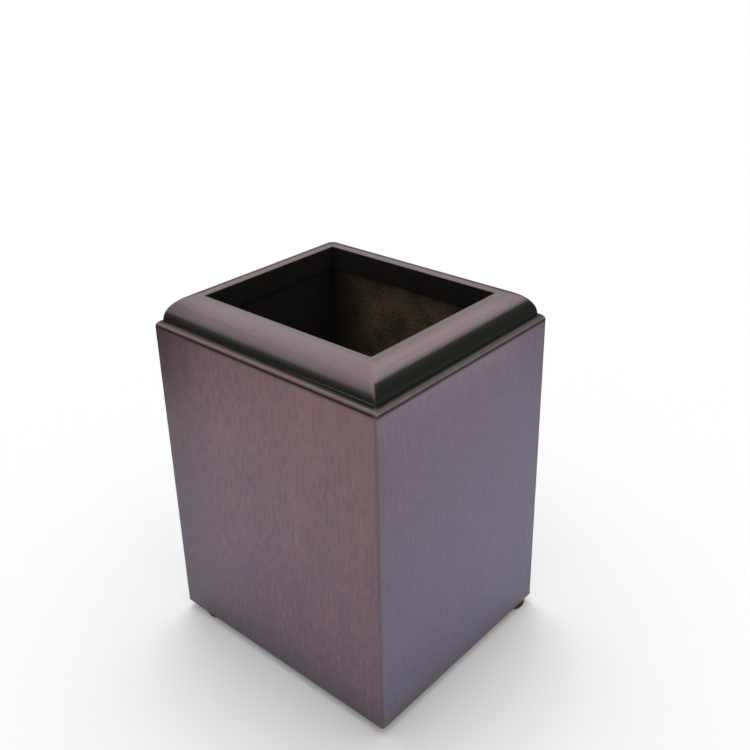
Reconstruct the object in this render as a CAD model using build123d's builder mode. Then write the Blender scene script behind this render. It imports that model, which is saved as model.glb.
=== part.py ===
"""Pen holder: a mitred wooden box with a moulded rim, a flocked lining and four domed feet.

The holder stands on the plane z = 0, centred on the Z axis, with +Z up. Its front is the -Y side.
All sizes are in millimetres.
"""

import os
from typing import NamedTuple

from build123d import *

# Outside of the box
width = 65.0
depth = 57.0

# Wall boards, mitred at the corners, with the outer top edge rounded over and the upright corners eased
wall_height = 77.1
wall_thickness = 7.2
wall_edge_radius = 1.3
wall_corner_radius = 0.65

# Rim moulding, set back to leave the rounded edge and a sliver of flat ledge; its lip covers the lining's top
rim_height = 5.6
rim_flat = 1.3
rim_lip = 0.3
ledge_flat = 0.1

# Lining panels and floor pad of flocked card
lining_thickness = 0.8
pad_thickness = 1.0

# Base panel, held in a groove that runs round the inside of the walls
base_thickness = 4.0
base_rise = 4.0
groove_depth = 3.0

# Keys that cross the mitres, stopped short of the base groove and of the wall tops
key_width = 5.0
key_thickness = 1.6
key_stop = 8.0
key_place_share = 0.6

# Disc feet with domed undersides, stuck on by hand: how far inside the wall faces their edges lie varies
foot_diameter = 7.6
foot_height = 2.0
foot_skirt = 1.4
foot_flat_diameter = 3.0
foot_setback = 1.2
foot_flush_setback = 0.1
foot_front_left_setback_x = 4.0
foot_front_left_setback_y = 0.7

# Heights above the plane that the holder stands on
wall_bottom = foot_height
wall_top = wall_bottom + wall_height
base_bottom = wall_bottom + base_rise
base_top = base_bottom + base_thickness
key_bottom = base_top + key_stop
key_length = wall_top - key_stop - key_bottom

# Distances in from the wall faces
groove_bottom = wall_thickness - groove_depth
lining_face = wall_thickness + lining_thickness
rim_setback = wall_edge_radius + ledge_flat
rim_inner = lining_face + rim_lip
rim_flat_start = rim_inner - rim_flat
key_inset = wall_thickness * key_place_share


class Side(NamedTuple):
    """One side of the box: the middle of its lower outer edge, the ways in and along, and its length."""

    edge_middle: Vector
    inward: Vector
    along: Vector
    length: float


sides = {
    "front": Side(Vector(0, -depth / 2, wall_bottom), Vector(0, 1, 0), Vector(1, 0, 0), width),
    "right": Side(Vector(width / 2, 0, wall_bottom), Vector(-1, 0, 0), Vector(0, 1, 0), depth),
    "back": Side(Vector(0, depth / 2, wall_bottom), Vector(0, -1, 0), Vector(-1, 0, 0), width),
    "left": Side(Vector(-width / 2, 0, wall_bottom), Vector(1, 0, 0), Vector(0, -1, 0), depth),
}

# The signs of X and Y at each corner of the box
corners = {
    "front_left": (-1, -1),
    "front_right": (1, -1),
    "back_right": (1, 1),
    "back_left": (-1, 1),
}

# How far the edge of the foot at each corner lies inside the X face and the Y face there
foot_setbacks = {
    "front_left": (foot_front_left_setback_x, foot_front_left_setback_y),
    "front_right": (foot_setback, foot_setback),
    "back_right": (foot_flush_setback, foot_flush_setback),
    "back_left": (foot_setback, foot_setback),
}


def section_plane(side):
    """Plane across the middle of a side: local X runs in from the face, local Y up from the wall bottom."""
    return Plane(origin=side.edge_middle, x_dir=side.inward, z_dir=side.along)


def cut_mitres(side):
    """Trim both ends of the piece being built to the 45 degree planes through the box corners."""
    for end in (-1, 1):
        corner = side.edge_middle + side.along * (end * side.length / 2)
        split(bisect_by=Plane(origin=corner, z_dir=side.inward + side.along * end), keep=Keep.BOTTOM)


def key_outline(sign_x, sign_y):
    """Draw a key's section at one corner, square across the mitre."""
    with Locations((sign_x * (width / 2 - key_inset), sign_y * (depth / 2 - key_inset))):
        Rectangle(key_width, key_thickness, rotation=-45 * sign_x * sign_y)


def save(piece, name):
    """Label a finished piece and write it to its own file."""
    piece.part.label = name
    export_step(piece.part, f"parts/{name}.step")


os.makedirs("parts", exist_ok=True)

# Wall boards: one grooved and rounded section, mitred and eased at both ends, with stopped slots for the keys
for name, side in sides.items():
    with BuildPart() as wall:
        with BuildSketch(section_plane(side)) as wall_section:
            Rectangle(wall_thickness, wall_height, align=(Align.MIN, Align.MIN))
            with Locations((groove_bottom, base_rise)):
                Rectangle(groove_depth, base_thickness, align=(Align.MIN, Align.MIN), mode=Mode.SUBTRACT)
            outer_top = wall_section.vertices().group_by(Axis.Y)[-1].sort_by(Axis.X)[0]
            fillet(outer_top, wall_edge_radius)
        extrude(amount=side.length / 2, both=True)
        cut_mitres(side)
        with BuildSketch(Plane.XY.offset(wall_bottom)):
            RectangleRounded(width, depth, wall_corner_radius)
        extrude(amount=wall_height, mode=Mode.INTERSECT)
        with BuildSketch(Plane.XY.offset(key_bottom)):
            for signs in corners.values():
                key_outline(*signs)
        extrude(amount=key_length, mode=Mode.SUBTRACT)
    save(wall, f"wall_{name}")

# Keys: thin strips that fill the slots across each mitre
for name, signs in corners.items():
    with BuildPart() as key:
        with BuildSketch(Plane.XY.offset(key_bottom)):
            key_outline(*signs)
        extrude(amount=key_length)
    save(key, f"key_{name}")

# Base panel: fills the groove on all four sides
with BuildPart() as base_panel:
    with BuildSketch(Plane.XY.offset(base_bottom)):
        Rectangle(width - 2 * groove_bottom, depth - 2 * groove_bottom)
    extrude(amount=base_thickness)
save(base_panel, "base_panel")

# Lining panels: the front and back ones span the whole inside, the other two stand between them
for name, side in sides.items():
    end_inset = lining_face if name in ("left", "right") else wall_thickness
    with BuildPart() as lining:
        with BuildSketch(section_plane(side)):
            with Locations((wall_thickness, base_top - wall_bottom)):
                Rectangle(lining_thickness, wall_top - base_top, align=(Align.MIN, Align.MIN))
        extrude(amount=side.length / 2 - end_inset, both=True)
    save(lining, f"lining_{name}")

# Floor pad: lies on the base panel inside the lining
with BuildPart() as floor_pad:
    with BuildSketch(Plane.XY.offset(base_top)):
        Rectangle(width - 2 * lining_face, depth - 2 * lining_face)
    extrude(amount=pad_thickness)
save(floor_pad, "floor_pad")

# Rim rails: an ovolo that rises from the ledge to a narrow flat beside the opening, mitred at both ends
for name, side in sides.items():
    with BuildPart() as rim:
        with BuildSketch(section_plane(side)):
            with BuildLine():
                Polyline(
                    (rim_setback, wall_height),
                    (rim_inner, wall_height),
                    (rim_inner, wall_height + rim_height),
                    (rim_flat_start, wall_height + rim_height),
                )
                EllipticalCenterArc(
                    (rim_flat_start, wall_height),
                    rim_flat_start - rim_setback,
                    rim_height,
                    90,
                    arc_size=90,
                )
            make_face()
        extrude(amount=side.length / 2, both=True)
        cut_mitres(side)
    save(rim, f"rim_{name}")

# Feet: a skirt under the corner of the boards, then a dome down to a small flat
for name, (sign_x, sign_y) in corners.items():
    setback_x, setback_y = foot_setbacks[name]
    centre_x = sign_x * (width / 2 - setback_x - foot_diameter / 2)
    centre_y = sign_y * (depth / 2 - setback_y - foot_diameter / 2)
    centre = Vector(centre_x, centre_y, 0)
    with BuildPart() as foot:
        with BuildSketch(Plane(origin=centre, x_dir=(1, 0, 0), z_dir=(0, -1, 0))):
            with BuildLine():
                Polyline(
                    (foot_diameter / 2, foot_height - foot_skirt),
                    (foot_diameter / 2, foot_height),
                    (0, foot_height),
                    (0, 0),
                    (foot_flat_diameter / 2, 0),
                )
                EllipticalCenterArc(
                    (foot_flat_diameter / 2, foot_height - foot_skirt),
                    (foot_diameter - foot_flat_diameter) / 2,
                    foot_height - foot_skirt,
                    270,
                    arc_size=90,
                )
            make_face()
        revolve(axis=Axis(centre, (0, 0, 1)))
    save(foot, f"foot_{name}")
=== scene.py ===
"""Pen holder, in metres: a mitred wooden box with a moulded rim, a flocked lining and four feet."""

import math
from collections import namedtuple

import bpy
import numpy as np
from mathutils import Matrix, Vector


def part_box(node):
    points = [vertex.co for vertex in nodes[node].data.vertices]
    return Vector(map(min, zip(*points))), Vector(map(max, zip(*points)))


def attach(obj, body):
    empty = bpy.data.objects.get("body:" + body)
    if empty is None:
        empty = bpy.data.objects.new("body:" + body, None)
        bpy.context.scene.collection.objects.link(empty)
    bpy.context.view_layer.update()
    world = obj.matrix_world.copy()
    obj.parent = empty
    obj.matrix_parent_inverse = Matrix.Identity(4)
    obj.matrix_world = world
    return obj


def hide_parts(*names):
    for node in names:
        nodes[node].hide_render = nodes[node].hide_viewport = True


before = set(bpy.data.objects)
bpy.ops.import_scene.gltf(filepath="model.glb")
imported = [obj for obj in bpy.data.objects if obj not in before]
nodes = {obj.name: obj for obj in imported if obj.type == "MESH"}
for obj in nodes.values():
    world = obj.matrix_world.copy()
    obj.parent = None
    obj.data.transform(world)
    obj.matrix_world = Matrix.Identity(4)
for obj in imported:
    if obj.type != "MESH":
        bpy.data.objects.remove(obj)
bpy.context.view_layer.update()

# Wall boards
# Four mahogany boards, grain upright, mitred and glued at the corners, with a rounded outer top edge.
# Stained purple brown and sprayed with satin lacquer. Shade in the hollows, at the ends and along the
# foot is painted into the colour, a highlight is painted along the rounded edge, and the corners are
# rubbed.
front_low, front_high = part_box("wall_front")
base_low, base_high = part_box("base_panel")
half_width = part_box("wall_right")[1].x
half_depth = -front_low.y
wall_thickness = front_high.y - front_low.y
wall_bottom = front_low.z
wall_top = front_high.z
groove_bottom = half_width - base_high.x
wall_round = 0.0013
wall_ease = 0.0003
corner_ease = 0.00065
inner_ease = 0.00005
face_rows = 14

# Each side: the middle of its face in plan, the way in, the way along and its length. Seen from above,
# the ways along run anticlockwise, from a side's first end to its last.
Side = namedtuple("Side", "middle way_in way_along length")
sides = {
    "front": Side((0, -half_depth), (0, 1), (1, 0), 2 * half_width),
    "right": Side((half_width, 0), (-1, 0), (0, 1), 2 * half_depth),
    "back": Side((0, half_depth), (0, -1), (-1, 0), 2 * half_width),
    "left": Side((-half_width, 0), (1, 0), (0, -1), 2 * half_depth),
}


def arc(centre, radii, start, end, steps):
    """Points of an ellipse arc: the centre plus the two radii times cosine and sine of each angle."""
    angle = np.radians(np.linspace(start, end, steps + 1))
    return np.column_stack((centre[0] + radii[0] * np.cos(angle), centre[1] + radii[1] * np.sin(angle)))


def mitred_run(section, radius, length, run_steps=24, turn_steps=5):
    """Carries a section along one side. Rows follow the section's points, each an inset and a height.

    Columns run along the side, and at each end turn 45 degrees on an arc of the row's radius, up to the
    mitre: along = run * (length / 2 - inset - radius) + radius * sin(turn), and the inset grows by
    radius * (1 - cos(turn)). Returns along, inset, height and the turn as a share of the whole turn.
    """
    straight = np.sin(np.linspace(-0.5, 0.5, run_steps + 1) * np.pi)
    bend = np.linspace(0, 1, turn_steps + 1)[1:]
    run = np.concatenate((-np.ones(turn_steps), straight, np.ones(turn_steps)))
    share = np.concatenate((-bend[::-1], np.zeros(run_steps + 1), bend))
    turn = np.radians(45) * share
    inset, height, radius = section[:, :1], section[:, 1:], radius[:, None]
    along = run * (length / 2 - inset - radius) + radius * np.sin(turn)
    inward = inset + radius * (1 - np.cos(turn))
    return along, inward, height + 0 * along, np.abs(share) + 0 * along


def side_points(side, along, inward, height):
    """Places a run in the frame: the face's middle, plus along and inward times the side's two ways."""
    x = side.middle[0] + side.way_along[0] * along + side.way_in[0] * inward
    y = side.middle[1] + side.way_along[1] * along + side.way_in[1] * inward
    return np.stack((x, y, height), axis=-1)


def tube_faces(rows, columns):
    """Quads of a grid whose rows close into a loop, with one flat face over each end."""
    first = np.arange(rows) * columns
    start = first[:, None] + np.arange(columns - 1)
    after = np.roll(first, -1)[:, None] + np.arange(columns - 1)
    quads = np.stack((start, start + 1, after + 1, after), axis=-1).reshape(-1, 4)
    last = first[::-1] + columns - 1
    return quads.tolist() + [first.tolist(), last.tolist()]


def add_piece(name, points, faces, materials, slot, replaced, **attributes):
    """Makes a smooth mesh from points and faces, stores its attributes, and hangs it on the frame."""
    crease = math.radians(40)
    mesh = bpy.data.meshes.new(name)
    mesh.from_pydata(points.reshape(-1, 3).tolist(), [], faces)
    for label, values in attributes.items():
        layer = mesh.attributes.new(label, "FLOAT_VECTOR", "POINT")
        layer.data.foreach_set("vector", values.reshape(-1).astype(np.float32))
    mesh.shade_smooth()
    mesh.set_sharp_from_angle(angle=crease)
    for material in materials:
        mesh.materials.append(material)
    piece = bpy.data.objects.new(name, mesh)
    bpy.context.scene.collection.objects.link(piece)
    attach(piece, "root")
    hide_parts(replaced)
    return piece


def finish_rows(piece, row_material, columns):
    """Gives each face of a tube the material number of its section row, and the ends the first one's."""
    of_faces = np.append(np.repeat(row_material, columns - 1), row_material[[0, 0]])
    piece.data.polygons.foreach_set("material_index", of_faces.astype(np.int32))


def linear(code):
    """Turns sRGB hex to linear light: near black a 12.92th of the channel, else a power of 2.4 of it."""
    channel = np.array([int(code[i:i + 2], 16) for i in (1, 3, 5)]) / 255
    light = np.where(channel <= 0.04045, channel / 12.92, ((channel + 0.055) / 1.055) ** 2.4)
    return (*light.tolist(), 1.0)


def new_material(name):
    """Makes a material, and gives it with its node tree and its shader."""
    material = bpy.data.materials.new(name)
    material.use_nodes = True
    return material, material.node_tree, material.node_tree.nodes["Principled BSDF"]


def add_node(tree, kind, inputs=None, **settings):
    """Adds a node with its settings. Each input is a value to set or another node's socket to link.

    A Mix node for colours has its factor at input 0, its colours at 6 and 7, its result at output 2.
    """
    made = tree.nodes.new(kind)
    for name, value in settings.items():
        setattr(made, name, value)
    for name, value in (inputs or {}).items():
        if isinstance(value, bpy.types.NodeSocket):
            tree.links.new(value, made.inputs[name])
        else:
            made.inputs[name].default_value = value
    return made


def lacquered_mahogany(name, cool, warm, rub_and_highlight_colour, cloud, figure, sheen, reflection):
    """Stained mahogany under lacquer: red and purple brown mottling, streaks along the grain, and pores.

    The finish attribute gives the shares of warm stain, of dark colour, and of worn colour. The dark
    colour is glaze along the mitred corners, and elsewhere painted shade and painted dark reflection in
    hollows, at ends and along the foot. Its share below nought paints a lighter band, paler than the
    stain, and above one a deeper painted shade, darker than the dark colour. The worn colour is rubbing,
    and along the boards' rounded edge a painted highlight. Cloud and figure say how strong the patches
    and the streaks are, and sheen how rough the lacquer is.
    """
    # Sizes across and along the grain. In the wood the pores are half as wide, too fine to show.
    widths = {"streaks": 0.0013, "pores": 0.0003, "patches": 0.008, "flecks": 0.0008}
    lengths = {"streaks": 0.030, "pores": 0.0026, "patches": 0.016, "flecks": 0.0030}
    shade = linear("#4a3d42")
    shade_and_glaze_colour = linear("#292a24")
    fleck_weight = 1.5
    mottle_reach = 0.3
    least_rubbed = 0.5
    sheen_spread = 0.06
    pooled_sheen = 0.4
    pore_relief = -0.5

    material, tree, shader = new_material(name)
    grain = add_node(tree, "ShaderNodeAttribute", attribute_name="grain").outputs["Vector"]
    finish = add_node(tree, "ShaderNodeAttribute", attribute_name="finish").outputs["Vector"]
    share = add_node(tree, "ShaderNodeSeparateXYZ", {0: finish}).outputs
    warm_share, shade_and_glaze_share, rub_and_highlight_share = share["X"], share["Y"], share["Z"]
    pattern = {}
    for label, width in widths.items():
        place = add_node(tree, "ShaderNodeVectorMath", {
            0: grain, 1: (1 / width, 1 / lengths[label], 1 / width)}, operation="MULTIPLY").outputs[0]
        pattern[label] = add_node(tree, "ShaderNodeTexNoise", {
            "Vector": place, "Scale": 1.0, "Detail": 2.0}).outputs["Fac"]

    warmth = add_node(tree, "ShaderNodeMath", {
        0: pattern["patches"], 1: cloud, 2: warm_share}, operation="MULTIPLY_ADD").outputs[0]
    warmth = add_node(tree, "ShaderNodeMath", {
        0: pattern["flecks"], 1: fleck_weight, 2: warmth}, operation="MULTIPLY_ADD").outputs[0]
    warmth = add_node(tree, "ShaderNodeMath", {
        0: warmth, 1: (cloud + fleck_weight) / 2}, operation="SUBTRACT", use_clamp=True).outputs[0]
    stain = add_node(tree, "ShaderNodeMix", {
        0: warmth, 6: linear(cool), 7: linear(warm)}, data_type="RGBA").outputs[2]
    mottle = add_node(tree, "ShaderNodeMath", {
        0: pattern["streaks"], 1: pattern["flecks"]}, operation="SUBTRACT").outputs[0]
    streak_depth = add_node(tree, "ShaderNodeMapRange", {
        "Value": mottle, "From Min": -mottle_reach, "From Max": mottle_reach,
        "To Max": figure}).outputs["Result"]
    stain = add_node(tree, "ShaderNodeMix", {
        0: streak_depth, 6: stain, 7: shade}, data_type="RGBA").outputs[2]
    pore_depth = add_node(tree, "ShaderNodeMapRange", {
        "Value": pattern["pores"], "From Min": 0.3, "From Max": 0.42,
        "To Min": figure, "To Max": 0.0}).outputs["Result"]
    stain = add_node(tree, "ShaderNodeMix", {
        0: pore_depth, 6: stain, 7: shade}, data_type="RGBA").outputs[2]
    # Painted shade and painted dark reflection, and glaze on the mitred corners, in the dark colour
    stain = add_node(tree, "ShaderNodeMix", {
        0: shade_and_glaze_share, 6: stain, 7: shade_and_glaze_colour}, data_type="RGBA", clamp_factor=False).outputs[2]
    # Rubbing, and on the boards' rounded edge a painted highlight, in the worn colour
    rubbed = add_node(tree, "ShaderNodeMapRange", {
        "Value": pattern["streaks"], "From Min": 0.3, "From Max": 0.6,
        "To Min": least_rubbed}).outputs["Result"]
    rubbed = add_node(tree, "ShaderNodeMath", {
        0: rub_and_highlight_share, 1: rubbed}, operation="MULTIPLY").outputs[0]
    colour = add_node(tree, "ShaderNodeMix", {
        0: rubbed, 6: stain, 7: linear(rub_and_highlight_colour)}, data_type="RGBA").outputs[2]
    dullness = add_node(tree, "ShaderNodeMapRange", {
        "Value": pattern["patches"], "From Min": 0.3, "From Max": 0.7,
        "To Min": sheen, "To Max": sheen + sheen_spread}).outputs["Result"]
    pooled = add_node(tree, "ShaderNodeMapRange", {
        "Value": shade_and_glaze_share, "From Min": 0.5, "To Min": 1.0, "To Max": pooled_sheen}).outputs["Result"]
    dullness = add_node(tree, "ShaderNodeMath", {
        0: dullness, 1: pooled}, operation="MULTIPLY").outputs[0]
    relief = add_node(tree, "ShaderNodeMath", {
        0: pore_depth, 1: pore_relief, 2: pattern["flecks"]}, operation="MULTIPLY_ADD").outputs[0]
    bump = add_node(tree, "ShaderNodeBump", {
        "Height": relief, "Strength": 0.12, "Distance": 0.00004}).outputs["Normal"]
    tree.links.new(colour, shader.inputs["Base Color"])
    tree.links.new(dullness, shader.inputs["Roughness"])
    tree.links.new(bump, shader.inputs["Normal"])
    shader.inputs["Specular IOR Level"].default_value = reflection
    return material


# Satin lacquer gives the boards soft, wide reflections over a cloudy stain. The front and back boards
# took more red, and the side boards are more even and greyer, which partly stands in for the cooler
# light on those sides.
warm_boards = lacquered_mahogany(
    "satin_lacquer_warm_boards", cool="#674f6c", warm="#88656a", rub_and_highlight_colour="#80604f",
    cloud=1.1, figure=0.28, sheen=0.33, reflection=0.5)
cool_boards = lacquered_mahogany(
    "satin_lacquer_cool_boards", cool="#765e6d", warm="#84686b", rub_and_highlight_colour="#937970",
    cloud=0.9, figure=0.18, sheen=0.33, reflection=0.5)

# The hollows, where no polishing reaches, are left matt and show hardly any reflection. Their dark
# colour is painted shade
matt_lacquer = lacquered_mahogany(
    "matt_lacquer", cool="#765e6d", warm="#84686b", rub_and_highlight_colour="#937970",
    cloud=0.9, figure=0.18, sheen=0.8, reflection=0.1)

foot_edge = arc((wall_ease, wall_bottom + wall_ease), (wall_ease, wall_ease), 270, 180, 4)
face_heights = np.linspace(wall_bottom + 3 * wall_ease, wall_top - wall_round - 2 * wall_ease, face_rows)
face_edge = np.column_stack((0 * face_heights, face_heights))
top_edge = arc((wall_round, wall_top - wall_round), (wall_round, wall_round), 180, 90, 18)
inside_edges = np.array([
    (wall_round + wall_ease, wall_top),
    (wall_thickness, wall_top),
    (wall_thickness, base_high.z),
    (groove_bottom, base_high.z),
    (groove_bottom, base_low.z),
    (wall_thickness, base_low.z),
    (wall_thickness, wall_bottom),
    (3 * wall_ease, wall_bottom),
])
wall_section = np.vstack((foot_edge, face_edge, top_edge, inside_edges))
wall_radius = np.where(wall_section[:, 0] < wall_thickness / 3, corner_ease, inner_ease)


def board_rows(face, edge, flat):
    """A value for each row of the boards' section: face, rounded edge, flat, and nought inside."""
    face_values = np.full(len(foot_edge) + len(face_edge), face)
    return np.concatenate((face_values, edge, [flat], np.zeros(len(inside_edges) - 1)))[:, None]


# The rounded edge, by its tilt in degrees: a line of painted dark reflection, a strip of painted
# highlight, and a ledge with painted shade under the rim. The line and the ledge are matt. Shares of
# painted shade are given at places counted in half strips from the strip's middle.
edge_tilt = np.linspace(0, 90, len(top_edge))
line_tilt, ledge_tilt = 13, 58
strip_half = 11
strip_highlight = 0.85
shade_places = (-4, -3, -2, -1, 0.6, 1.6, 3.2, 4.3, 5.2)
line_shade = (0.5, 1.0, 1.0, 0.75, 0.25)
matt_rows = board_rows(0, (edge_tilt < line_tilt) | (edge_tilt > ledge_tilt), 1)[:, 0]

# How the two kinds of board are stained and shaded. Warm stain has a share at the first foot corner, and
# gains along the board and up it. Painted shade lies at both ends, with more in the top corners down to
# a drop, and along the foot, where it loses strength along the board. It gives way to a painted lighter
# band under the top edge and thins towards the last end. The tilt of the strip with the painted
# highlight and the four shares of painted shade on the ledge come last, with how far those shares grow
# along the board.
warm_stain_and_shading = {
    "warm": -0.15, "warm_along": 0.45, "warm_up": 0.9,
    "first": 0.3, "first_corner": 0.4, "last": 0.08, "last_corner": -0.08, "drop": 0.013,
    "foot": 0.5, "foot_reach": 0.005, "foot_loss": 0.0, "under_edge": 0.0, "thin": 0.0,
    "strip": 43, "ledge": (0.58, 0.76, 0.93, 1.0), "ledge_lean": 0.45,
}
cool_stain_and_shading = {
    "warm": 0.26, "warm_along": 0.0, "warm_up": 0.26,
    "first": 0.02, "first_corner": 0.1, "last": 0.08, "last_corner": 0.5, "drop": 0.006,
    "foot": 0.5, "foot_reach": 0.009, "foot_loss": 0.43, "under_edge": -0.55, "thin": -0.08,
    "strip": 28, "ledge": (0.97, 1.0, 1.04, 1.07), "ledge_lean": 0.0,
}
end_reach = 0.020
band_reach = 0.004
corner_glaze, corner_wear = 0.25, 0.35


def fade(distance):
    """Falls from one to nought over the end reach, on half a cosine wave."""
    return 0.5 + 0.5 * np.cos(np.pi * np.clip(distance / end_reach, 0, 1))


# The grain's place is shifted by a metre from board to board, so that no two look alike
for number, (name, side) in enumerate(sides.items()):
    on_face = name in ("front", "back")
    stain_and_shading = warm_stain_and_shading if on_face else cool_stain_and_shading
    along, inward, height, turn = mitred_run(wall_section, wall_radius, side.length)
    way = along / side.length + 0.5
    rise = (height - wall_bottom) / (wall_top - wall_bottom)
    in_corner = np.exp((height - wall_top) / stain_and_shading["drop"])
    first_end = (stain_and_shading["first"] + stain_and_shading["first_corner"] * in_corner) * fade(side.length / 2 + along)
    last_end = (stain_and_shading["last"] + stain_and_shading["last_corner"] * in_corner) * fade(side.length / 2 - along)
    foot_band = np.exp((wall_bottom - height) / stain_and_shading["foot_reach"])
    foot_band = stain_and_shading["foot"] * (1 - stain_and_shading["foot_loss"] * way) * foot_band
    top_band = stain_and_shading["under_edge"] * np.exp((height - wall_top) / band_reach)
    # Painted shade at the ends, in the top corners and along the foot, and a painted lighter band under
    # the top edge
    painted_shading = first_end + last_end + foot_band + top_band + stain_and_shading["thin"] * way
    strip_place = (edge_tilt - stain_and_shading["strip"]) / strip_half
    # Painted dark reflection on the line, and painted shade on the ledge
    edge_shade = np.interp(strip_place, shade_places, line_shade + stain_and_shading["ledge"])
    row_shade = board_rows(-1.0, edge_shade, edge_shade[-1])
    ledge_rows = board_rows(0, np.clip(strip_place - 1, 0, 1), 1)
    row_shade = row_shade + stain_and_shading["ledge_lean"] * (way - 0.5) * ledge_rows
    # A painted highlight along the rounded edge
    highlight_rows = board_rows(0, strip_highlight * np.exp(-strip_place ** 2), 0)
    tint = stain_and_shading["warm"] + stain_and_shading["warm_along"] * way + stain_and_shading["warm_up"] * rise
    shade_and_glaze = np.maximum(row_shade, painted_shading + corner_glaze * turn)
    wear = np.maximum(highlight_rows, corner_wear * turn)
    board = add_piece(
        f"wall_{name}_board",
        side_points(side, along, inward, height),
        tube_faces(*along.shape),
        [warm_boards if on_face else cool_boards, matt_lacquer],
        "lacquered_wood",
        f"wall_{name}",
        grain=np.stack((along + number, height, inward), axis=-1),
        finish=np.stack((tint, shade_and_glaze, wear), axis=-1),
    )
    finish_rows(board, matt_rows, along.shape[1])


def birch_plywood(name, pale, brown):
    """Birch plywood: pale and brown layers a little over a millimetre thick, with fine short grain."""
    layer = 0.0013
    layer_weight = 0.12
    # Real fibres are too fine to show, so bundles of them are drawn
    fibre_width, fibre_length = 0.0005, 0.012
    material, tree, shader = new_material(name)
    place = add_node(tree, "ShaderNodeTexCoord").outputs["Object"]
    fibre_scale = (1 / fibre_length, 1 / fibre_width, 1 / fibre_width)
    fibre_at = add_node(tree, "ShaderNodeVectorMath", {
        0: place, 1: fibre_scale}, operation="MULTIPLY").outputs[0]
    fibre = add_node(tree, "ShaderNodeTexNoise", {
        "Vector": fibre_at, "Scale": 1.0, "Detail": 3.0}).outputs["Fac"]
    height = add_node(tree, "ShaderNodeSeparateXYZ", {0: place}).outputs["Z"]
    layers = add_node(tree, "ShaderNodeMath", {
        0: height, 1: math.pi / layer}, operation="MULTIPLY").outputs[0]
    layers = add_node(tree, "ShaderNodeMath", {0: layers}, operation="SINE").outputs[0]
    tone = add_node(tree, "ShaderNodeMath", {
        0: layers, 1: layer_weight, 2: fibre}, operation="MULTIPLY_ADD").outputs[0]
    tone = add_node(tree, "ShaderNodeMapRange", {
        "Value": tone, "From Min": 0.3, "From Max": 0.7}).outputs["Result"]
    colour = add_node(tree, "ShaderNodeMix", {
        0: tone, 6: linear(brown), 7: linear(pale)}, data_type="RGBA").outputs[2]
    bump = add_node(tree, "ShaderNodeBump", {
        "Height": fibre, "Strength": 0.25, "Distance": 0.00005}).outputs["Normal"]
    tree.links.new(colour, shader.inputs["Base Color"])
    tree.links.new(bump, shader.inputs["Normal"])
    shader.inputs["Roughness"].default_value = 0.62
    return material


# Raw birch is pale and dull, and every other layer looks browner
plywood = birch_plywood("birch_plywood", pale="#c9a57c", brown="#a97f56")
for name in ("front_left", "front_right", "back_right", "back_left"):
    key = nodes[f"key_{name}"]
    key.data.materials.clear()
    key.data.materials.append(plywood)

# Base panel
# A panel of birch plywood in a groove round the inside of the boards. Its lower face shows from below,
# and the floor pad covers its upper face. It is stained near to the boards' colour and left dull.
stained_plywood = birch_plywood("stained_plywood", pale="#5a4238", brown="#3c2b26")
nodes["base_panel"].data.materials.clear()
nodes["base_panel"].data.materials.append(stained_plywood)

# Lining panels and floor pad
# Card with a nap of short dark flock, cut to size and glued to the boards and to the base panel. The
# front and back panels get a browner copy of it with painted light, and the side panels, which the light
# misses, keep it near black. Soft edges leave shallow lines in the corners.
card_edge = 0.0003


def soft_box(low, high, radius, steps=4):
    """A box with rounded edges: a sphere of the edge radius, pulled apart at its three middle planes.

    Each point is the box's middle, plus half its size less the radius times the signs of the direction,
    plus the radius times the direction. Directions run over longitude in four quarters and latitude in
    two halves.
    """
    middle, half = (np.array(high) + low) / 2, (np.array(high) - low) / 2
    quarter = np.linspace(0, 90, steps + 1)
    longitude = np.radians((quarter + np.arange(0, 360, 90)[:, None]).reshape(-1))
    sign_x = np.repeat((1, -1, -1, 1), steps + 1)
    sign_y = np.repeat((1, 1, -1, -1), steps + 1)
    latitude = np.radians(np.concatenate((quarter[:-1][::-1] * -1, quarter[:-1])))
    sign_z = np.repeat((-1, 1), steps)
    level = np.cos(latitude)[:, None]
    direction = np.stack(np.broadcast_arrays(
        level * np.cos(longitude), level * np.sin(longitude), np.sin(latitude)[:, None]), axis=-1)
    signs = np.stack(np.broadcast_arrays(sign_x, sign_y, sign_z[:, None]), axis=-1)
    return middle + (half - radius) * signs + radius * direction


def ring_faces(rows, columns):
    """Quads of a grid whose columns close into a ring, with a flat face over its first and last row."""
    first = np.arange(columns)
    start = np.arange(rows - 1)[:, None] * columns + first
    after = np.arange(rows - 1)[:, None] * columns + np.roll(first, -1)
    quads = np.stack((start, after, after + columns, start + columns), axis=-1).reshape(-1, 4)
    last = first + (rows - 1) * columns
    return quads.tolist() + [first[::-1].tolist(), last.tolist()]


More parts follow.
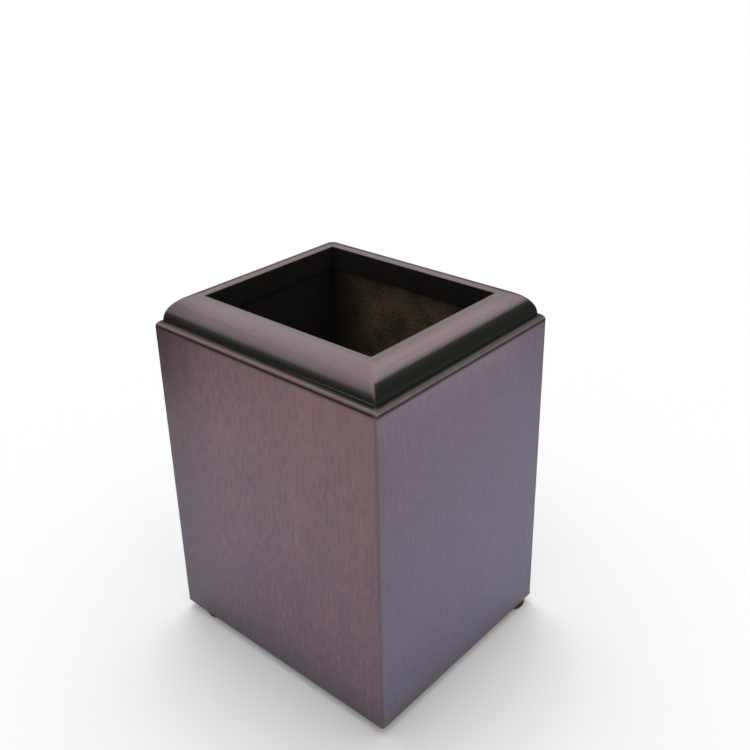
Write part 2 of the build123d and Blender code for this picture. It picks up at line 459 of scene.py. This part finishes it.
def flocked_card(name, shadow, nap, lit_pile):
    """Flocked card: upright short fibres that take nearly all light, with a browner pool of painted
    light.

    The painted light grows from the panel's two ends towards its middle, and from its top downwards,
    so that painted shade stays in the corners and under the rim.
    """
    # Single fibres are far too fine to show, so tufts of them are drawn
    tuft_size = 0.0005
    patch_size = 0.007
    patch_weight = 0.5
    light_pool_ends = (0.025, 0.010)
    light_pool_heights = (0.085, 0.070)
    material, tree, shader = new_material(name)
    place = add_node(tree, "ShaderNodeTexCoord").outputs["Object"]
    tufts = add_node(tree, "ShaderNodeTexNoise", {
        "Vector": place, "Scale": 1 / tuft_size, "Detail": 3.0, "Roughness": 0.7}).outputs["Fac"]
    patches = add_node(tree, "ShaderNodeTexNoise", {
        "Vector": place, "Scale": 1 / patch_size, "Detail": 2.0}).outputs["Fac"]
    tone = add_node(tree, "ShaderNodeMath", {
        0: patches, 1: patch_weight, 2: tufts}, operation="MULTIPLY_ADD").outputs[0]
    tone = add_node(tree, "ShaderNodeMapRange", {
        "Value": tone, "From Min": 0.55, "From Max": 0.95}).outputs["Result"]
    axes = add_node(tree, "ShaderNodeSeparateXYZ", {0: place}).outputs
    off_middle = add_node(tree, "ShaderNodeMath", {0: axes["X"]}, operation="ABSOLUTE").outputs[0]
    middle = add_node(tree, "ShaderNodeMapRange", {
        "Value": off_middle, "From Min": light_pool_ends[0], "From Max": light_pool_ends[1],
    }, interpolation_type="SMOOTHSTEP").outputs["Result"]
    depth = add_node(tree, "ShaderNodeMapRange", {
        "Value": axes["Z"], "From Min": light_pool_heights[0], "From Max": light_pool_heights[1],
    }, interpolation_type="SMOOTHSTEP").outputs["Result"]
    # Painted light, where light reaches into the cup
    light_pool = add_node(tree, "ShaderNodeMath", {0: middle, 1: depth}, operation="MULTIPLY").outputs[0]
    pile = add_node(tree, "ShaderNodeMix", {
        0: light_pool, 6: linear(nap), 7: linear(lit_pile)}, data_type="RGBA").outputs[2]
    colour = add_node(tree, "ShaderNodeMix", {
        0: tone, 6: linear(shadow), 7: pile}, data_type="RGBA").outputs[2]
    bump = add_node(tree, "ShaderNodeBump", {
        "Height": tufts, "Strength": 0.7, "Distance": 0.00025}).outputs["Normal"]
    tree.links.new(colour, shader.inputs["Base Color"])
    tree.links.new(bump, shader.inputs["Normal"])
    shader.inputs["Roughness"].default_value = 0.95
    shader.inputs["Specular IOR Level"].default_value = 0.15
    shader.inputs["Sheen Weight"].default_value = 0.05
    shader.inputs["Sheen Roughness"].default_value = 0.5
    shader.inputs["Sheen Tint"].default_value = linear("#6b5a48")
    return material


# One flock in two copies: near black for the side panels, and browner, with painted light, for the lit
# front and back panels
dark_flock = flocked_card("flocked_card_near_black", shadow="#121211", nap="#25231f", lit_pile="#2a2721")
lit_flock = flocked_card("flocked_card_painted_light", shadow="#1c1912", nap="#2e2a22", lit_pile="#85745a")
for name in ("lining_front", "lining_right", "lining_back", "lining_left", "floor_pad"):
    low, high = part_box(name)
    card = soft_box(low, high, card_edge)
    # The lit front and back panels take the copy with painted light
    flock = lit_flock if name in ("lining_front", "lining_back") else dark_flock
    add_piece(f"{name}_card", card, ring_faces(*card.shape[:2]), [flock], "flocked_card", name)

# Rim rails
# Lengths of mahogany moulding, mitred and glued on top of the boards, and finished with them. Outside
# is a quarter round, with painted shade and painted dark reflection at its foot and at its ends. Use has
# rubbed the mitres and the inner lip soft.
rim_low, rim_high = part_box("rim_front")
rim_setback = rim_low.y - front_low.y
rim_inner = rim_high.y - front_low.y
rim_bottom = rim_low.z
rim_top = rim_high.z
rim_flat = 0.0013
rim_ease = 0.00025
ridge_low, ridge_high = 0.0004, 0.0018
rim_round = rim_inner - rim_flat - rim_setback
rim_height = rim_top - rim_bottom

ovolo = arc((rim_inner - rim_flat, rim_bottom), (rim_round, rim_height), 180, 90, 28)
lip = arc((rim_inner - rim_ease, rim_top - rim_ease), (rim_ease, rim_ease), 90, 0, 5)
rim_section = np.vstack((ovolo, lip, [(rim_inner, rim_bottom)]))
rail_tilt = np.linspace(0, 90, len(ovolo))
climb = np.sin(np.radians(rail_tilt)) ** 2
rim_radius = np.concatenate((
    ridge_low + (ridge_high - ridge_low) * climb,
    np.linspace(ridge_high / 3, inner_ease, len(lip)),
    [inner_ease],
))


def rail_rows(quarter_round, lip_value, inside=0.0):
    """A value for each row of the rails' section: the quarter round, the lip, and the inner foot."""
    return np.concatenate((quarter_round, lip_value + np.zeros(len(lip)), [inside]))[:, None]


# Shares up the section by the quarter round's tilt in degrees: painted shade and dark reflection, the
# flat on top, the reach of the painted shade at the ends, rubbing on the lip, and a redder band of
# heartwood.
# The side rails' foot is matt.
front_shade = np.interp(rail_tilt, (0, 12, 22, 36, 60, 90), (1.0, 1.0, 0.72, 0.16, 0.18, 0.32))
side_shade = np.interp(
    rail_tilt, (0, 10, 16, 30, 38, 42, 50, 68, 84), (0.97, 0.97, 1.0, 1.0, 0.97, 0.7, 0.0, 0.0, 0.6))
matt_tilt = 40
flat_start, flat_fade = 72, 12
red_middle, red_half, red_end = 78, 8, 82
lip_red = 0.75
lip_rubbed = 0.4
mitre_rubbed = 0.2
rail_warmth = 0.4
flat_rows = rail_rows(np.clip((rail_tilt - flat_start) / flat_fade, 0, 1), 1)
end_shade_rows = rail_rows(climb ** 4, 1)
rubbed_rows = rail_rows(0 * rail_tilt, lip_rubbed * np.sin(np.linspace(0, np.pi, len(lip))))
red_place = (np.clip(rail_tilt, 0, red_end) - red_middle) / red_half
red_rows = rail_rows(np.exp(-red_place ** 2), lip_red)

# How the two kinds of rail are finished: painted shade and dark reflection, painted shade at the first
# end and on top at the last one, the redder heartwood, and brown rubbing on the flat, with more of it at
# the last end.
front_finish = {
    "shade_and_glaze": front_shade, "lip_shade": 0.47, "first": 0.6, "last": 0.3,
    "red": 0.1, "brown": 0.0, "brown_last": 0.0,
}
side_finish = {
    "shade_and_glaze": side_shade, "lip_shade": 0.6, "first": 0.0, "last": 0.95,
    "red": 0.9, "brown": 0.12, "brown_last": 0.45,
}

# The rails are polished more than the boards, so a brighter and narrower reflection runs along them
rim_lacquer = lacquered_mahogany(
    "satin_lacquer_rails", cool="#7b6b76", warm="#8b6470", rub_and_highlight_colour="#80604f",
    cloud=0.8, figure=0.2, sheen=0.21, reflection=0.6)
for number, (name, side) in enumerate(sides.items()):
    on_face = name in ("front", "back")
    finish = front_finish if on_face else side_finish
    along, inward, height, turn = mitred_run(rim_section, rim_radius, side.length, turn_steps=10)
    first_end = fade(side.length / 2 + along)
    last_end = fade(side.length / 2 - along)
    # Painted shade at the ends, and on top at the last end
    painted_shading = finish["first"] * first_end + finish["last"] * last_end * end_shade_rows
    shade_and_glaze = 1 - (1 - rail_rows(finish["shade_and_glaze"], finish["lip_shade"], 1)) * (1 - painted_shading)
    brown = (finish["brown"] + finish["brown_last"] * last_end) * flat_rows
    wear = np.maximum(np.maximum(mitre_rubbed * turn ** 2, rubbed_rows), brown)
    tint = rail_warmth + finish["red"] * red_rows + 0 * along
    rail = add_piece(
        f"rim_{name}_rail",
        side_points(side, along, inward, height),
        tube_faces(*along.shape),
        [rim_lacquer, dark_flock, matt_lacquer],
        "lacquered_wood",
        f"rim_{name}",
        grain=np.stack((height - inward + number, along, inward), axis=-1),
        finish=np.stack((tint, shade_and_glaze, wear), axis=-1),
    )
    # The face under the lip is flocked like the lining
    row_material = np.zeros(len(rim_section))
    row_material[-2] = 1
    if not on_face:
        row_material[:len(ovolo)][rail_tilt < matt_tilt] = 2
    finish_rows(rail, row_material, along.shape[1])

# Feet
# Black bumpers of moulded polyurethane rubber, discs with a low dome underneath, stuck on by hand. They
# lift the box two millimetres. The back right one lies flush with the boards, so its edge shows.
foot_skirt = 0.0014
foot_flat = 0.0015
foot_ease = 0.00012


def turned(profile, centre, steps=48):
    """Turns a profile round the centre's upright line: x and y are radius times cosine and sine."""
    angle = np.linspace(0, 2 * np.pi, steps, endpoint=False)
    radius, height = profile[:, :1], profile[:, 1:]
    x = centre[0] + radius * np.cos(angle)
    y = centre[1] + radius * np.sin(angle)
    return np.stack((x, y, height + 0 * angle), axis=-1)


def moulded_rubber(name, body, dust):
    """Moulded rubber: soft black with a dull gloss, a fine pitted texture and a little grey dust."""
    # A spark-eroded mould leaves pits of under a tenth of a millimetre, drawn coarser to show
    texture_size = 0.00035
    most_dust = 0.5
    material, tree, shader = new_material(name)
    place = add_node(tree, "ShaderNodeTexCoord").outputs["Object"]
    texture = add_node(tree, "ShaderNodeTexNoise", {
        "Vector": place, "Scale": 1 / texture_size, "Detail": 2.0}).outputs["Fac"]
    dusty = add_node(tree, "ShaderNodeMapRange", {
        "Value": texture, "From Min": 0.45, "From Max": 0.75, "To Max": most_dust}).outputs["Result"]
    colour = add_node(tree, "ShaderNodeMix", {
        0: dusty, 6: linear(body), 7: linear(dust)}, data_type="RGBA").outputs[2]
    bump = add_node(tree, "ShaderNodeBump", {
        "Height": texture, "Strength": 0.2, "Distance": 0.00005}).outputs["Normal"]
    tree.links.new(colour, shader.inputs["Base Color"])
    tree.links.new(bump, shader.inputs["Normal"])
    shader.inputs["Roughness"].default_value = 0.65
    return material


# Dull black rubber shows little more than its outline, with a soft light along the dome
rubber = moulded_rubber("moulded_rubber", body="#0e0d0f", dust="#29262a")
for name in ("front_left", "front_right", "back_right", "back_left"):
    node = f"foot_{name}"
    low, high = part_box(node)
    foot_radius = (high.x - low.x) / 2
    dome = (foot_radius - foot_flat, high.z - foot_skirt - low.z)
    foot_profile = np.vstack((
        arc((foot_flat, high.z - foot_skirt), dome, 270, 360, 12),
        arc((foot_radius - foot_ease, high.z - foot_ease), (foot_ease, foot_ease), 0, 90, 3),
    ))
    bumper = turned(foot_profile, (low + high) / 2)
    add_piece(f"{node}_bumper", bumper, ring_faces(*bumper.shape[:2]), [rubber], "bumper_rubber", node)

# Floor
# A plain white table top that runs out of sight and takes the holder's shadow. Where it is seen, also
# in a reflection, it is lifted to a clean white, with no more light on the holder.
floor_reach = 60.0
floor_lift = 0.12


def seen_directly(tree):
    """One for rays from the camera, from reflections and through glass, and nought for the rest."""
    path = add_node(tree, "ShaderNodeLightPath").outputs
    seen = add_node(tree, "ShaderNodeMath", {
        0: path["Is Camera Ray"], 1: path["Is Glossy Ray"]}, operation="ADD").outputs[0]
    return add_node(tree, "ShaderNodeMath", {
        0: seen, 1: path["Is Transmission Ray"]}, operation="ADD", use_clamp=True).outputs[0]


def level_sheet(low, high, height):
    """Corners of a level rectangle, counted round from its lowest one."""
    return np.array([
        (low[0], low[1], height),
        (high[0], low[1], height),
        (high[0], high[1], height),
        (low[0], high[1], height),
    ])


def add_stage(name, points, faces, material):
    """Makes a mesh that stands round the holder, and leaves it off the holder's frame."""
    mesh = bpy.data.meshes.new(name)
    mesh.from_pydata(points.reshape(-1, 3).tolist(), [], faces)
    mesh.materials.append(material)
    stage = bpy.data.objects.new(name, mesh)
    bpy.context.scene.collection.objects.link(stage)
    return stage


table_white, tree, shader = new_material("white_table")
shader.inputs["Base Color"].default_value = linear("#f5f5f5")
shader.inputs["Roughness"].default_value = 0.9
shader.inputs["Specular IOR Level"].default_value = 0.0
shader.inputs["Emission Color"].default_value = linear("#ffffff")
lift = add_node(tree, "ShaderNodeMath", {
    0: seen_directly(tree), 1: floor_lift}, operation="MULTIPLY").outputs[0]
tree.links.new(lift, shader.inputs["Emission Strength"])
floor_corners = level_sheet((-floor_reach, -floor_reach), (floor_reach, floor_reach), 0)
add_stage("floor", floor_corners, [(0, 1, 2, 3)], table_white)

# Light
# A wide soft source overhead, a smaller one from the back left, and a pale room. Two things on the table
# show only in reflections: a dark drape round a bare middle, and a half clear, glowing blue card on the
# right.


def add_lamp(name, spread, energy, lean):
    """A sun lamp with a spread in degrees, which leans by as much to the back as to the left."""
    lamp = bpy.data.lights.new(name, "SUN")
    lamp.angle = math.radians(spread)
    lamp.energy = energy
    light = bpy.data.objects.new(name, lamp)
    light.rotation_euler = (math.radians(-lean), math.radians(-lean), 0)
    bpy.context.scene.collection.objects.link(light)
    return light


add_lamp("overhead_softbox", spread=100, energy=1.25, lean=5)
key_light = add_lamp("key_lamp", spread=30, energy=0.94, lean=11)
key_light.visible_glossy = False

# The room lights the holder softly from all sides, and shows as white where it is seen
room_light, room_white = 0.28, 0.98
room = bpy.data.worlds.new("pale_room")
room.use_nodes = True
tree = room.node_tree
strength = add_node(tree, "ShaderNodeMapRange", {
    "Value": seen_directly(tree), "To Min": room_light, "To Max": room_white}).outputs["Result"]
tree.links.new(strength, tree.nodes["Background"].inputs["Strength"])
tree.nodes["Background"].inputs["Color"].default_value = linear("#ffffff")
bpy.context.scene.world = room

# The drape lies on the table from its first reach to its second and rises to its third, to a height in
# degrees that is greatest at the back right. Its cloth fades in outside a bare round of table, and along
# a straight edge on the left.
drape_reach = np.array((0.04, 0.30, 1.2))[:, None]
drape_lift = np.array((0.0, 0.0, 1.0))[:, None]
drape_gap = 0.0005
drape_steps = 96
drape_height, drape_swing, drape_high_side = 20, 9, 40
bare_middle = (0.006, 0.006, 0)
bare_reach = (0.165, 0.255)
left_edge = (-0.115, -0.145)
drape_azimuth = np.linspace(0, 2 * np.pi, drape_steps, endpoint=False)
drape_top = np.radians(drape_height + drape_swing * np.cos(drape_azimuth - np.radians(drape_high_side)))
drape_points = np.stack(np.broadcast_arrays(
    drape_reach * np.cos(drape_azimuth),
    drape_reach * np.sin(drape_azimuth),
    drape_gap + drape_lift * drape_reach[2] * np.tan(drape_top),
), axis=-1)
black_cloth, tree, shader = new_material("black_cloth")
shader.inputs["Base Color"].default_value = linear("#1c1c1c")
shader.inputs["Roughness"].default_value = 1.0
place = add_node(tree, "ShaderNodeTexCoord").outputs["Object"]
reach = add_node(tree, "ShaderNodeVectorMath", {
    0: place, 1: bare_middle}, operation="DISTANCE").outputs["Value"]
cover = add_node(tree, "ShaderNodeMapRange", {
    "Value": reach, "From Min": bare_reach[0], "From Max": bare_reach[1]}).outputs["Result"]
across = add_node(tree, "ShaderNodeSeparateXYZ", {0: place}).outputs["X"]
left_cover = add_node(tree, "ShaderNodeMapRange", {
    "Value": across, "From Min": left_edge[0], "From Max": left_edge[1]}).outputs["Result"]
cover = add_node(tree, "ShaderNodeMath", {0: cover, 1: left_cover}, operation="MAXIMUM").outputs[0]
tree.links.new(cover, shader.inputs["Alpha"])
drape = add_stage("dark_drape", drape_points, ring_faces(*drape_points.shape[:2])[:-2], black_cloth)

# The card glows, and lends the right board a cool, lilac reflection
card_low, card_high = (0.0352, -0.06), (0.30, 0.34)
card_height = 0.0003
glowing_blue_sheet, tree, shader = new_material("glowing_blue_sheet")
shader.inputs["Base Color"].default_value = linear("#000000")
shader.inputs["Roughness"].default_value = 1.0
shader.inputs["Specular IOR Level"].default_value = 0.0
shader.inputs["Emission Color"].default_value = linear("#95c7ff")
shader.inputs["Emission Strength"].default_value = 1.5
shader.inputs["Alpha"].default_value = 0.5
card_corners = level_sheet(card_low, card_high, card_height)
card = add_stage("pale_blue_card", card_corners, [(0, 1, 2, 3)], glowing_blue_sheet)

for reflected in (drape, card):
    reflected.visible_camera = False
    reflected.visible_diffuse = False
    reflected.visible_transmission = False
    reflected.visible_shadow = False

# Camera
# It looks down on the near corner. The picture is cut from the lower part of a larger one, so the lens
# is shifted a little.
frame_pixels = 750
focal_pixels = 961.2
view_azimuth = math.radians(41.78)
view_elevation = math.radians(24.54)
view_roll = math.radians(1.29)
view_place = (0.13279, -0.14046, 0.16414)
camera_data = bpy.data.cameras.new("camera")
camera_data.sensor_width = 36.0
camera_data.lens = camera_data.sensor_width * focal_pixels / frame_pixels
camera_data.shift_y = -0.06
camera_data.clip_start = 0.01
camera = bpy.data.objects.new("camera", camera_data)
bpy.context.scene.collection.objects.link(camera)
camera.matrix_world = (
    Matrix.Translation(view_place)
    @ Matrix.Rotation(view_azimuth, 4, "Z")
    @ Matrix.Rotation(math.pi / 2 - view_elevation, 4, "X")
    @ Matrix.Rotation(-view_roll, 4, "Z")
)
bpy.context.scene.camera = camera
bpy.context.scene.view_settings.view_transform = "Standard"
